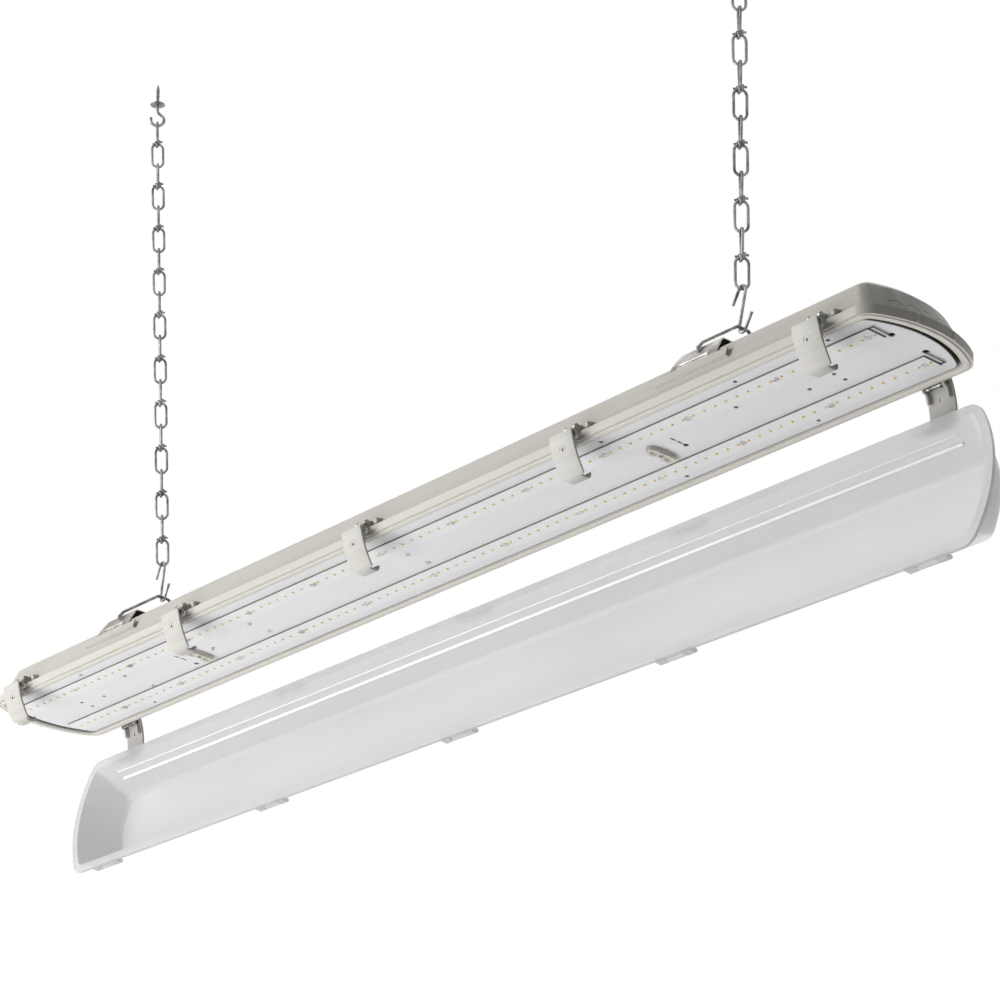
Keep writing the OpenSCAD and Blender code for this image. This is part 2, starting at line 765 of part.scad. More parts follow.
module gear_tray() {
    side_l = corner_x(tray_in) - tray_cut - 8;
    near_y = -strip_y;
    spare = [
        [0.887, near_y], [0.83, -3], [0.83, 9.5], [0.779, 2.5], [0.726, near_y], [0.726, strip_y],
        [0.676, -15], [0.475, near_y], [0.482, strip_y], [-0.03, near_y], [-0.705, -15], [-0.705, 19],
        [-0.806, 2], [-0.858, -3], [-0.858, 10], [-0.756, near_y], [-0.764, strip_y]
    ];
    color("white")
        from_rim()
            difference() {
                union() {
                    translate([0, 0, tray_z]) linear_extrude(height = tray_t) plan(tray_in, tray_cut);
                    for (y0 = [-tray_half_w, tray_half_w - tray_t])
                        translate([-side_l, y0, tray_z]) cube([2 * side_l, tray_t, tray_flange_h]);
                }
                for (i = [0, 1]) {
                    key_x = turn_xs[i] + (i == 0 ? -25 : 25);
                    sheet_hole(turn_xs[i], 0, stem_r + 0.06, 24);
                    sheet_hole(key_x, i == 0 ? 14 : 5, 2.6, 12);
                    for (y = [-9.5, -1.5]) translate([key_x, y, 0]) cube([2.2, 6, 6], center = true);
                }
                for (x = board_screw_xs, s = [-1, 1]) sheet_hole(x, s * board_gap / 2, screw_r + 0.1);
                for (p = spare) sheet_hole(p[0] * half_l, p[1], 2, 8);
                for (x = driver_screw_xs, s = [-1, 1]) sheet_hole(x, s * driver_screw_y, screw_r + 0.1);
                for (y = lead_ys) sheet_hole(lead_x, y, 3, 12);
                sheet_hole(ground_x, 0, screw_r + 0.1);
            }
}

module board(side) {
    y = side * board_gap / 2;
    color("whitesmoke")
        from_rim()
            difference() {
                translate([-board_left, y - board_w / 2, tray_z - board_t - 0.05])
                    cube([board_len, board_w, board_t]);
                for (x = board_screw_xs) sheet_hole(x, y, screw_r + 0.1);
            }
}

module emitter_row(side) {
    x0 = board_screw_xs[0] + emitter_pitch / 2 - emitter_w / 2;
    y0 = side * board_gap / 2 - emitter_w / 2;
    z0 = tray_z - 0.05 - board_t - emitter_h - 0.02;
    color("khaki")
        from_rim()
            for (i = [0:emitters - 1])
                translate([x0 - i * emitter_pitch, y0, z0]) cube([emitter_w, emitter_w, emitter_h]);
}

module board_screws() {
    color("silver")
        from_rim()
            for (x = board_screw_xs, s = [-1, 1])
                translate([x, s * board_gap / 2, tray_z - board_t - 0.1]) {
                    difference() {
                        translate([0, 0, -1.2]) cylinder(h = 1.2, r = 3, $fn = 10);
                        translate([0, 0, -1.2]) cube([7, 0.7, 1.2], center = true);
                    }
                    cylinder(h = board_t + tray_t + 2, r = screw_r, $fn = 6);
                }
}

module driver() {
    color("gray")
        from_rim()
            translate([driver_x, 0, tray_top + 0.05])
                difference() {
                    union() {
                        translate([-driver_end, -driver_w / 2, 0]) cube([driver_l, driver_w, driver_h]);
                        translate([-driver_end - driver_ear, -driver_w / 2, 0])
                            cube([driver_l + 2 * driver_ear, driver_w, 1.5]);
                    }
                    for (s = [-1, 1], t = [-1, 1])
                        translate([s * (driver_end + driver_ear / 2), t * driver_screw_y, -1])
                            cylinder(h = 4, r = screw_r + 0.1, $fn = 6);
                }
}

module driver_screws() {
    color("silver")
        from_rim()
            for (x = driver_screw_xs, s = [-1, 1])
                translate([x, s * driver_screw_y, tray_z - 1]) {
                    cylinder(h = 0.95, r = 2.6, $fn = 10);
                    translate([0, 0, 0.9]) cylinder(h = 6, r = screw_r, $fn = 6);
                }
}

module terminal_block() {
    color("ivory")
        from_rim()
            translate([block_x, 0, tray_top + 0.05])
                difference() {
                    union() {
                        translate([-11, -16, 0]) cube([22, 32, 7]);
                        translate([-7, -16, 6]) cube([14, 32, 7]);
                    }
                    for (y = [-10, 0, 10]) {
                        translate([0, y, 8]) cylinder(h = 8, r = 2, $fn = 12);
                        translate([-12, y, 4]) rotate([0, 90, 0]) cylinder(h = 24, r = 1.8, $fn = 12);
                    }
                }
}

module ground_screw() {
    color("green")
        from_rim() {
            translate([ground_x, 0, tray_top + 0.05]) cylinder(h = 2.4, r = 4, $fn = 12);
            translate([ground_x, 0, tray_z - 3]) cylinder(h = 5, r = screw_r, $fn = 6);
        }
}

module board_leads() {
    low = tray_z - 1;
    high = tray_top + 5;
    far_x = driver_x + driver_end + 0.1;
    color("black")
        from_rim()
            for (i = [0, 1]) {
                pad = lead_pad_ys[i];
                y = lead_ys[i];
                end = pad > y ? 0.6 : -0.6;
                rod([board_right + 0.2, pad - end, low], [lead_x, pad - end, low], lead_r);
                rod([lead_x, pad, low], [lead_x, y, low], lead_r);
                rod([lead_x, y, low - 0.6], [lead_x, y, high], lead_r);
                rod([lead_x + 0.5, y, high], [far_x, y, high], lead_r);
            }
}

module driver_leads() {
    z = tray_top + 4.05;
    bend_x = block_x + 14;
    color("dimgray")
        from_rim()
            for (y = [-10, 0, 10]) {
                rod([block_x + 2, y, z], [bend_x, y, z], 1.1);
                rod([bend_x - 0.4, y, z - 0.1], [driver_x - driver_end - 0.1, y, z + 6], 1.1);
            }
}

module turn_latch(x) {
    end_y = (wing_l - wing_w) / 2;
    color("white")
        from_rim()
            translate([x, 0, tray_z - 0.3]) {
                translate([0, 0, -1.6]) cylinder(h = 1.6, r = 7, $fn = 24);
                translate([0, 0, -0.2]) cylinder(h = 18, r = stem_r, $fn = 24);
                translate([0, 0, -4])
                    linear_extrude(height = 4) {
                        difference() {
                            union() {
                                square([wing_w, 2 * end_y], center = true);
                                for (s = [-1, 1]) translate([0, s * end_y]) circle(r = wing_w / 2, $fn = 24);
                            }
                            translate([-wing_w * 0.75, 0]) circle(r = wing_w / 2, $fn = 24);
                        }
                    }
            }
}

ceiling_hook(hanger_xs[0]);  // left_ceiling_hook
ceiling_hook(hanger_xs[1]);  // right_ceiling_hook
chain(hanger_xs[0]);  // left_chain
chain(hanger_xs[1]);  // right_chain
s_hook(hanger_xs[0]);  // left_s_hook
s_hook(hanger_xs[1]);  // right_s_hook
bail(hanger_xs[0]);  // left_bail
bail(hanger_xs[1]);  // right_bail
bracket(hanger_xs[0]);  // left_bracket
bracket(hanger_xs[1]);  // right_bracket
housing();
gasket();
conduit_hub();
hub_locknut();
latch_pins();
gear_tray();
board(-1);  // near_board
board(1);  // far_board
emitter_row(-1);  // near_emitters
emitter_row(1);  // far_emitters
board_screws();
driver();
driver_screws();
terminal_block();
ground_screw();
board_leads();
driver_leads();
turn_latch(turn_xs[0]);  // left_turn_latch
turn_latch(turn_xs[1]);  // right_turn_latch
near_link(1);  // near_link_1
near_link(2);  // near_link_2
near_link(3);  // near_link_3
near_link(4);  // near_link_4
near_link(5);  // near_link_5
near_lever(1);  // near_lever_1
near_lever(2);  // near_lever_2
near_lever(3);  // near_lever_3
near_lever(4);  // near_lever_4
near_lever(5);  // near_lever_5
far_link(1);  // far_link_1
far_link(2);  // far_link_2
far_link(3);  // far_link_3
far_link(4);  // far_link_4
far_link(5);  // far_link_5
far_lever(1);  // far_lever_1
far_lever(2);  // far_lever_2
far_lever(3);  // far_lever_3
far_lever(4);  // far_lever_4
far_lever(5);  // far_lever_5
lens();
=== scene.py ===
import json
import math

import bpy
from mathutils import Matrix, Vector

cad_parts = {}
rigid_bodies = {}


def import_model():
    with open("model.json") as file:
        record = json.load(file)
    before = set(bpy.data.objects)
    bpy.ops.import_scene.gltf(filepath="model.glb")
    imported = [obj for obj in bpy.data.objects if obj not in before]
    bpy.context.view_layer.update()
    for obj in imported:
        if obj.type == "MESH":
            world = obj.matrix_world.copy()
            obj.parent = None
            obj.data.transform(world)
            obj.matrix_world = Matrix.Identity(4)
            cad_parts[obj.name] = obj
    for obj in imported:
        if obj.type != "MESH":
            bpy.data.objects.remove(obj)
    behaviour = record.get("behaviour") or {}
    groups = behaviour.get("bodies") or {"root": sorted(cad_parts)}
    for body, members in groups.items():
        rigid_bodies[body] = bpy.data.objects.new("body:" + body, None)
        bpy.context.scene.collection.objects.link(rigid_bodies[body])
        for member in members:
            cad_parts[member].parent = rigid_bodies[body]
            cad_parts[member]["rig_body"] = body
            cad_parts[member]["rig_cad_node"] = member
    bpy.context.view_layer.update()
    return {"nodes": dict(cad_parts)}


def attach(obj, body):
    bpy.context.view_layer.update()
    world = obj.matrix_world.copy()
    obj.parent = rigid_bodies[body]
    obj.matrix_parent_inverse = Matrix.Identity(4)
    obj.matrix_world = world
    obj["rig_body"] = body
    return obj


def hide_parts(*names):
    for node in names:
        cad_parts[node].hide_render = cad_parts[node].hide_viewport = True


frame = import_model()
nodes = frame["nodes"]

# Lengths are in metres and angles in degrees. The world's zero is on the ceiling, midway between the
# two ceiling hooks: the light runs along X, and the open lens hangs on its +Y side, the far side.


# ------------------------------------------------------------------ Places
def shift(x, y, z):
    return Matrix.Translation((x, y, z))


def rotate(degrees, axis):
    return Matrix.Rotation(math.radians(degrees), 4, axis)


def on_side(s):
    """The near side (-1) is the far side (1) turned half round."""
    return rotate(0 if s > 0 else 180, "Z")


# Heights in the closed light's own frame, whose zero is the housing's rim.
CEILING = 0.6519522
BAIL = 0.082
SPAN = 0.836  # between the lower ends of the two chains
TIP = 6  # the weight of the open lens tips the housing
SPLAY = 3  # each chain leans out towards its ceiling hook

CEILING_HOOK_WIRE = 0.0016  # radii of the wires
CHAIN_WIRE = 0.0013
S_HOOK_WIRE = 0.0014
BAIL_WIRE = 0.0015
S_HOOK_LENGTH = 0.041
HOOK_Z = BAIL - BAIL_WIRE - S_HOOK_WIRE - 0.0001
FIRST_LINK = HOOK_Z + S_HOOK_LENGTH - S_HOOK_WIRE - 0.0003 - CHAIN_WIRE

HALF_LENGTH = 0.635  # of the housing
LATCH_PITCH = 0.283
PIVOT_OPEN = (0.0695941, 0.0032474)  # of a lever on its open link, outwards and up
PIVOT_CLOSED = (0.0674332, 0.0238065)
FAR_LEAN = TIP + math.degrees(math.atan(7.433231648 / 34.10646514))  # far levers that hang plumb

SIDES = (("left", -1), ("right", 1))
# Frames of the tipped housing and of the open lens, from the closed light's own frame.
rim = shift(0, 0, HOOK_Z - CEILING) @ rotate(-TIP, "X") @ shift(0, 0, -HOOK_Z)
hang = rim @ shift(0, 0.0732429, -0.0314684) @ rotate(86, "X") @ shift(0, -0.06, 0.0103)


def tip_to_chain(s):
    """Place of a chain's own frame, its axis leaning out from the bail to the ceiling hook."""
    return shift(s * SPAN / 2, 0, BAIL - CEILING) @ rotate(s * SPLAY, "Y") @ shift(0, 0, -BAIL)


# ------------------------------------------------------------------ Camera
# Where the photographer stood: low, near the right-hand end and well back, looking up along the light.
EYE = Vector((2.0965, -1.6959, -1.6256))
HEADING, CLIMB, CANT = 0.70602, 0.3655, 0.020621  # radians
forward = Vector((-math.cos(HEADING) * math.cos(CLIMB),
                  math.sin(HEADING) * math.cos(CLIMB),
                  math.sin(CLIMB)))
level = forward.cross(Vector((0, 0, 1))).normalized()
down = forward.cross(level)
right = math.cos(CANT) * level + math.sin(CANT) * down
under = math.cos(CANT) * down - math.sin(CANT) * level
bpy.ops.object.camera_add()
camera = bpy.context.object
outlook = Matrix((right, -under, -forward)).transposed().to_4x4()
camera.matrix_world = Matrix.Translation(EYE) @ outlook
camera.data.sensor_width = 36
camera.data.lens = 114.254
camera.data.clip_start, camera.data.clip_end = 0.05, 60
scene = bpy.context.scene
scene.camera = camera
scene.view_settings.view_transform = "Standard"


# ------------------------------------------------------------------ Shader helpers
class Tone:
    """One socket of a material; sums and products written on it add their Math nodes."""

    def __init__(self, tree, out):
        self.tree, self.out = tree, out

    def put(self, kind, settings=None, output=0, **values):
        """Adds a node. Values go to its inputs by name, or by number when written _0, _1 and so on."""
        made = self.tree.nodes.new("ShaderNode" + kind)
        for key, value in (settings or {}).items():
            setattr(made, key, value)
        for key, value in values.items():
            number = key[1:]
            socket = made.inputs[int(number) if number.isdigit() else key.replace("_", " ")]
            if isinstance(value, Tone):
                self.tree.links.new(value.out, socket)
            else:
                socket.default_value = value
        return Tone(self.tree, made.outputs[output])

    def work(self, operation, *terms):
        inputs = {"_%d" % i: term for i, term in enumerate(terms)}
        return self.put("Math", {"operation": operation}, **inputs)

    def __add__(self, other):
        return self.work("ADD", self, other)

    def __radd__(self, other):
        return self.work("ADD", other, self)

    def __rsub__(self, other):
        return self.work("SUBTRACT", other, self)

    def __mul__(self, other):
        return self.work("MULTIPLY", self, other)

    def within(self, low, high):
        """0 below low and 1 above high, with a straight ramp between."""
        return self.put("MapRange", {"clamp": True}, Value=self, From_Min=low, From_Max=high)

    def mix(self, a, b):
        """Colour a where this is 0, colour b where it is 1."""
        ends = {key: end if isinstance(end, Tone) else (*end, 1) for key, end in (("_6", a), ("_7", b))}
        return self.put("Mix", {"data_type": "RGBA"}, output=2, _0=self, **ends)

    def scaled(self, x, y, z):
        return self.put("Mapping", Vector=self, Scale=(x, y, z))

    def noise(self, scale, detail=3, rough=0.5):
        return self.put("TexNoise", Vector=self, Scale=scale, Detail=detail, Roughness=rough)

    def axis(self, i):
        return self.put("SeparateXYZ", output=i, Vector=self)

    def bump(self, strength, distance):
        return self.put("Bump", Height=self, Strength=strength, Distance=distance)


def srgb(r, g, b):
    """A colour as a paint chart gives it, 0 to 255, in Blender's linear numbers."""
    return tuple(((c / 255 + 0.055) / 1.055) ** 2.4 if c > 10 else c / 3294.6 for c in (r, g, b))


def material(name):
    """A new material, its shader, and its Object coordinates."""
    m = bpy.data.materials.new(name)
    m.use_nodes = True
    return m, m.node_tree.nodes["Principled BSDF"], Tone(m.node_tree, None).put("TexCoord", output=3)


def feed(shader, **inputs):
    """Links tones to the shader's inputs, and sets plain numbers and colours on them."""
    for key, value in inputs.items():
        socket = shader.inputs[key.replace("_", " ")]
        if isinstance(value, Tone):
            value.tree.links.new(value.out, socket)
        else:
            socket.default_value = value


def bright_steel(name, light, dark, rough, scratch=9000):
    """Plated or stainless steel: cloudy plating, fine scratches and darker rubbed places."""
    paint, shader, at = material(name)
    cloud = at.noise(120, 3, 0.5)
    spot = at.noise(700, 2, 0.6).within(0.58, 0.74)
    fine = at.scaled(1, 1, 0.15).noise(scratch, 2)
    clean = cloud.within(0.25, 0.6) * (1 - spot * 0.35)
    feed(shader, Metallic=1.0, Base_Color=clean.mix(dark, light),
         Roughness=fine.within(0.2, 0.8) * 0.16 + rough,
         Normal=(fine * 0.4 + cloud).bump(0.15, 0.00004))
    return paint


def rolled_sheet(name, light, dark, rough):
    """Stainless sheet: brushed along the light, with faint finger marks."""
    paint, shader, at = material(name)
    grain = at.scaled(0.04, 1, 1).noise(5200, 3)
    mark = at.noise(70, 3).within(0.45, 0.7)
    worn = (grain * 0.7 + mark * 0.3).within(0.3, 0.7)
    feed(shader, Metallic=1.0, Base_Color=worn.mix(dark, light),
         Roughness=mark * 0.14 + grain * 0.1 + rough, Normal=grain.bump(0.2, 0.00004))
    return paint


def moulded(name, light, dark, rough, across=1.0):
    """Moulded plastic: faint flow lines along it, a fine satin skin and a little dirt in the texture."""
    paint, shader, at = material(name)
    flow = at.scaled(0.25, 6 * across, 9 * across).noise(8, 4, 0.6)
    skin = at.noise(2600, 2)
    dirt = at.noise(14, 5, 0.65).within(0.42, 0.75)
    aged = flow.within(0.34, 0.66) * 0.7 + dirt * 0.3
    feed(shader, Base_Color=aged.mix(light, dark), Roughness=skin * 0.12 + flow * 0.1 + rough,
         Normal=(skin * 0.35 + flow * 0.25).bump(0.3, 0.0002))
    return paint


# ------------------------------------------------------------------ Room and lamps
# A white room with a pale floor well below the light, lit from the front and from below by soft
# lamps. The camera, reflections and the lens see the room brighter than it lights the part.
world = bpy.data.worlds.new("white_room")
scene.world = world
world.use_nodes = True
air = Tone(world.node_tree, None)
to_camera, to_gloss, to_lens = (air.put("LightPath", output=i) for i in (0, 3, 6))
seen = to_camera.work("MAXIMUM", to_camera, to_gloss.work("MAXIMUM", to_gloss, to_lens))
backdrop = world.node_tree.nodes["Background"]
world.node_tree.links.new((seen * 0.9 + 0.1).out, backdrop.inputs["Strength"])
backdrop.inputs["Color"].default_value = (1, 1, 1, 1)

MIDDLE = (0, 0, -0.6)  # of the hanging light
LAMPS = (  # name, place, what it faces, diameter, watts
    ("lamp_below", (-0.7, -1.2, -2.6), MIDDLE, 3.4, 100),
    ("lamp_front", (-2.2, -3.0, 0.2), MIDDLE, 2.6, 110),
    ("lamp_above", (-0.8, 0.9, 2.4), MIDDLE, 2.0, 30),
    ("lamp_behind", (-0.6, 3.4, -1.3), MIDDLE, 2.4, 44),
    ("lamp_right", (1.3, 0.7, -3.0), (0.5, 0.1, -0.7), 1.2, 20),
)
for name, place, aim, across, watts in LAMPS:
    bpy.ops.object.light_add(type="AREA", location=place)
    lamp = bpy.context.object
    lamp.name = name
    lamp.data.shape, lamp.data.size, lamp.data.energy = "DISK", across, watts
    lamp.rotation_euler = (Vector(place) - Vector(aim)).to_track_quat("Z", "Y").to_euler()
    lamp.visible_camera = False

FLOOR_Z = -2.65
bpy.ops.mesh.primitive_circle_add(vertices=96, radius=1.6, fill_type="NGON", location=(0, 0, FLOOR_Z))
floor = bpy.context.object
floor.name = "floor"
floor_paint = bpy.data.materials.new("floor_paint")
floor_paint.use_nodes = True
ground = Tone(floor_paint.node_tree, None)
pale = floor_paint.node_tree.nodes["Principled BSDF"]
pale.inputs["Base Color"].default_value = (*srgb(232, 232, 232), 1)
pale.inputs["Roughness"].default_value = 0.8
glow = ground.put("Emission", Color=(1, 1, 1, 1), Strength=1.0)
shown = ground.put("LightPath", output=0) * 0.55
both = ground.put("MixShader", _0=shown, _1=Tone(ground.tree, pale.outputs[0]), _2=glow)
ground.tree.links.new(both.out, ground.tree.nodes["Material Output"].inputs["Surface"])
floor.data.materials.append(floor_paint)


# ------------------------------------------------------------------ Modelling helpers
def alone(*objects):
    """Selects these objects and nothing else; the last one is active."""
    bpy.ops.object.select_all(action="DESELECT")
    for o in objects:
        o.select_set(True)
        bpy.context.view_layer.objects.active = o


def edit(o):
    alone(o)
    bpy.ops.object.mode_set(mode="EDIT")


def done():
    bpy.ops.object.mode_set(mode="OBJECT")


def settle(o, place=None):
    """Puts a piece's place into its mesh, after moving it to a further place if one is given."""
    if place is not None:
        bpy.context.view_layer.update()
        o.matrix_world = place @ o.matrix_world
    alone(o)
    bpy.ops.object.transform_apply(location=True, rotation=True, scale=True)
    return o


def copied(o):
    alone(o)
    bpy.ops.object.duplicate()
    return bpy.context.object


def joined(name, parts):
    alone(*parts)
    if len(parts) > 1:
        bpy.ops.object.join()
    o = bpy.context.view_layer.objects.active
    o.name = o.data.name = name
    return o


def modified(o, kind, **settings):
    alone(o)
    m = o.modifiers.new(kind.title(), kind)
    for key, value in settings.items():
        setattr(m, key, value)
    bpy.ops.object.modifier_apply(modifier=m.name)
    return o


def eased(o, width, degrees=30, segments=2):
    """Rounds the edges that turn by more than these degrees."""
    return modified(o, "BEVEL", width=width, segments=segments, limit_method="ANGLE",
                    angle_limit=math.radians(degrees))


def cut(o, *cutters):
    """Cuts other meshes out of a piece and deletes them."""
    for cutter in cutters:
        modified(o, "BOOLEAN", object=cutter, operation="DIFFERENCE", solver="EXACT")
        bpy.data.objects.remove(cutter)
    return o


def smooth(o, degrees=35):
    alone(o)
    bpy.ops.object.shade_smooth_by_angle(angle=math.radians(degrees))
    return o


def even(o):
    """Flat faces stay flat to the eye: each corner's normal follows its largest face."""
    return modified(o, "WEIGHTED_NORMAL", weight=80, keep_sharp=True)


def trim(o, paint, node):
    """Paints a piece and puts it on the body of this node, which it goes with."""
    o.data.materials.clear()
    o.data.materials.append(paint)
    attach(o, nodes[node]["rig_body"])


def finish(o, paint, node):
    """Paints a piece, and puts it in the place of the node that it stands for."""
    trim(o, paint, node)
    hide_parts(node)


def from_solid(node, name, edge=0.0, segments=2, angle=30):
    """A copy of a solid, welded, with the softened edges of the real piece."""
    o = copied(nodes[node])
    o.name = o.data.name = name
    o.parent = None
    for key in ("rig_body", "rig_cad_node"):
        if key in o:
            del o[key]
    edit(o)
    bpy.ops.mesh.select_all(action="SELECT")
    bpy.ops.mesh.remove_doubles(threshold=1e-5)
    bpy.ops.mesh.dissolve_limited(angle_limit=math.radians(0.4))
    done()
    if edge:
        eased(o, edge, angle, segments)
    return even(smooth(o))


def wire(name, steps, thick, sides=12, facet=12, closed=False):
    """Bends a round wire from the origin along +Z: straight lengths, or (radius, degrees) towards +X."""
    alone()
    bpy.ops.mesh.primitive_circle_add(vertices=sides, radius=thick, fill_type="NOTHING")
    o = bpy.context.object
    o.name = name
    bpy.ops.object.mode_set(mode="EDIT")
    here = Matrix.Identity(4)
    for step in steps:
        if isinstance(step, tuple):
            radius, angle = step
            side = math.copysign(radius, angle)
            axis = here.to_3x3() @ Vector((0, -math.copysign(1, angle), 0))
            bpy.ops.mesh.spin(steps=max(2, round(abs(angle) / facet)), angle=math.radians(abs(angle)),
                              center=here @ Vector((side, 0, 0)), axis=axis)
            here = here @ shift(side, 0, 0) @ rotate(angle, "Y") @ shift(-side, 0, 0)
        else:
            ahead = here.to_3x3() @ Vector((0, 0, step))
            bpy.ops.mesh.extrude_region_move(TRANSFORM_OT_translate={"value": ahead})
            here = here @ shift(0, 0, step)
    bpy.ops.mesh.select_all(action="SELECT")
    bpy.ops.mesh.remove_doubles(threshold=2e-5 if closed else 1e-6)
    if not closed:
        bpy.ops.mesh.select_all(action="DESELECT")
        bpy.ops.mesh.select_non_manifold()
        bpy.ops.mesh.fill_holes(sides=0)
        bpy.ops.mesh.select_all(action="SELECT")
    bpy.ops.mesh.normals_make_consistent(inside=False)
    done()
    return smooth(o, 50)


def wire_through(name, points, bend_r, thick, sides=12):
    """A wire in the XZ plane through points, with rounded corners."""
    heads = [math.degrees(math.atan2(b[0] - a[0], b[1] - a[1])) for a, b in zip(points, points[1:])]
    turns = [0] + [(b - a + 180) % 360 - 180 for a, b in zip(heads, heads[1:])] + [0]
    short = [bend_r * math.tan(math.radians(abs(t)) / 2) for t in turns]
    steps = []
    for i, (a, b) in enumerate(zip(points, points[1:])):
        steps.append(math.dist(a, b) - short[i] - short[i + 1])
        if turns[i + 1]:
            steps.append((bend_r, turns[i + 1]))
    o = wire(name, steps, thick, sides, 10)
    return settle(o, shift(points[0][0], 0, points[0][1]) @ rotate(heads[0], "Y"))


def bar(size, place, edge, segments=2):
    """A block with rounded edges, at its place in the housing's frame."""
    bpy.ops.mesh.primitive_cube_add(size=1)
    o = bpy.context.object
    o.scale = size
    settle(o)
    modified(o, "BEVEL", width=edge, segments=segments)
    return settle(o, rim @ place)


def folded(name, points, widths, thick, edge):
    """Sheet drawn through (y, z) points, with its half width at each, then thickened and eased."""
    bpy.ops.mesh.primitive_plane_add(size=2)
    o = bpy.context.object
    o.name = name
    edit(o)
    bpy.ops.mesh.select_all(action="DESELECT")
    done()
    for v in o.data.vertices:
        v.select = v.co.y > 0
    edit(o)
    bpy.ops.mesh.delete(type="VERT")
    bpy.ops.mesh.select_all(action="SELECT")
    bpy.ops.transform.translate(value=(0, 1, 0))
    bpy.ops.transform.resize(value=(widths[0], 1, 1))
    bpy.ops.transform.translate(value=(0, *points[0]))
    for a, b, u, v in zip(points, points[1:], widths, widths[1:]):
        onward = (0, b[0] - a[0], b[1] - a[1])
        bpy.ops.mesh.extrude_region_move(TRANSFORM_OT_translate={"value": onward})
        bpy.ops.transform.resize(value=(v / u, 1, 1))
    bpy.ops.mesh.select_all(action="SELECT")
    bpy.ops.mesh.normals_make_consistent(inside=False)
    done()
    modified(o, "SOLIDIFY", thickness=thick, offset=0, use_even_offset=True)
    return smooth(eased(o, edge, 50), 40)


# ------------------------------------------------------------------ Ceiling hooks
# Screw hooks of zinc-plated steel wire with a pressed round plate, driven into the ceiling.
# The crook is bent open, and the thread is rolled on the wire.
HOOK_X = 0.4466748
CROOK_R, NECK_R, NECK_TURN = 0.007, 0.004, 50
HOOK_TURN = 60  # about its own axis, so that the crook takes the top link squarely

zinc = bright_steel("zinc_wire", srgb(136, 138, 140), srgb(78, 80, 82), 0.26, scratch=6000)
neck_sin, neck_cos = math.sin(math.radians(NECK_TURN)), math.cos(math.radians(NECK_TURN))
kink = (CROOK_R * neck_cos - NECK_R * (1 - neck_cos)) / neck_sin
for side, s in SIDES:
    crook = wire("crook", [0.006, (NECK_R, NECK_TURN), kink, (CROOK_R, -250)], CEILING_HOOK_WIRE, 14, 8)
    settle(crook, shift(0, 0, -0.002) @ rotate(180, "X"))
    bpy.ops.mesh.primitive_cylinder_add(vertices=14, radius=CEILING_HOOK_WIRE, depth=0.0205,
                                        location=(0, 0, 0.0082))
    shank = bpy.context.object
    bpy.ops.mesh.primitive_cone_add(vertices=14, radius1=CEILING_HOOK_WIRE, radius2=0.0002, depth=0.0056,
                                    location=(0, 0, 0.0212))
    point = bpy.context.object
    threads = []
    for i in range(4):
        bpy.ops.mesh.primitive_cone_add(vertices=20, radius1=CEILING_HOOK_WIRE, radius2=0.0022, depth=0.001,
                                        location=(0, 0, 0.009 + 0.003 * i))
        threads.append(bpy.context.object)
    bpy.ops.mesh.primitive_cylinder_add(vertices=48, radius=0.008, depth=0.0006, location=(0, 0, -0.0005))
    plate = bpy.context.object
    edit(plate)
    bpy.ops.mesh.select_all(action="DESELECT")
    done()
    for face in plate.data.polygons:
        face.select = face.normal.z < -0.9
    edit(plate)
    for inset, pressed in ((0.0028, -0.0008), (0.002, -0.0003)):
        bpy.ops.mesh.inset(thickness=inset)
        bpy.ops.transform.translate(value=(0, 0, pressed))
    done()
    eased(plate, 0.0002)
    hook = joined(side + "_screw_hook", [shank, point, *threads, plate, crook])
    settle(hook, shift(s * HOOK_X, 0, 0) @ rotate(HOOK_TURN, "Z"))
    finish(smooth(hook, 40), zinc, side + "_ceiling_hook")


# ------------------------------------------------------------------ Chains
# Ten links of zinc-plated wire a side. Each link is one wire, bent to a wide lower loop and a slim
# upper loop square to it, with its two ends wrapped round the waist between them.
LINKS = 10
PITCH = 0.051
LOWER_R, LOWER_LEG = 0.00575, 0.0165
UPPER_R, UPPER_SPREAD = 0.0039, 0.0024  # the upper legs part by this much
WAIST = 0.0265
WRAP_R = 0.0028

upper_height = PITCH + 0.0029 - UPPER_R - WAIST
lower_steps = [LOWER_LEG, (LOWER_R, 180), LOWER_LEG, (LOWER_R, 180)]
lower = wire("lower_loop", lower_steps, CHAIN_WIRE, 10, 15, closed=True)
settle(lower, shift(-LOWER_R, 0, LOWER_R))
leg = math.hypot(upper_height, UPPER_SPREAD)
leg_lean = math.degrees(math.atan2(UPPER_SPREAD, upper_height))
upper_bend = (UPPER_R / math.cos(math.radians(leg_lean)), 180 + 2 * leg_lean)
upper = wire("upper_loop", [leg, upper_bend, leg], CHAIN_WIRE, 10, 12)
settle(upper, shift(0, -0.0015, WAIST) @ rotate(90, "Z") @ rotate(-leg_lean, "Y"))
wraps = []
for k in (-1, 1):
    bpy.ops.mesh.primitive_torus_add(major_segments=20, minor_segments=8, major_radius=WRAP_R,
                                     minor_radius=CHAIN_WIRE,
                                     location=(k * 0.0014, 0, 0.0284 + k * 0.0008),
                                     rotation=(0, math.radians(90 + k * 16), 0))
    wraps.append(settle(bpy.context.object))
for k in (-1, 1):
    tail = wire("tail", [0.0012, (0.0024, 64), 0.0009], 0.00115, 8, 14)
    wraps.append(settle(tail, shift(k * 0.0014, -k * 0.0024, 0.0276) @ on_side(k) @ rotate(36, "Y")))
link = smooth(joined("link", [lower, upper, *wraps]), 50)
for side, s in SIDES:
    row = []
    for i in range(LINKS):
        place = tip_to_chain(s) @ shift(0, 0, FIRST_LINK + i * PITCH) @ rotate(HOOK_TURN, "Z")
        row.append(settle(copied(link), place))
    finish(joined(side + "_hanging_chain", row), zinc, side + "_chain")
bpy.data.objects.remove(link)


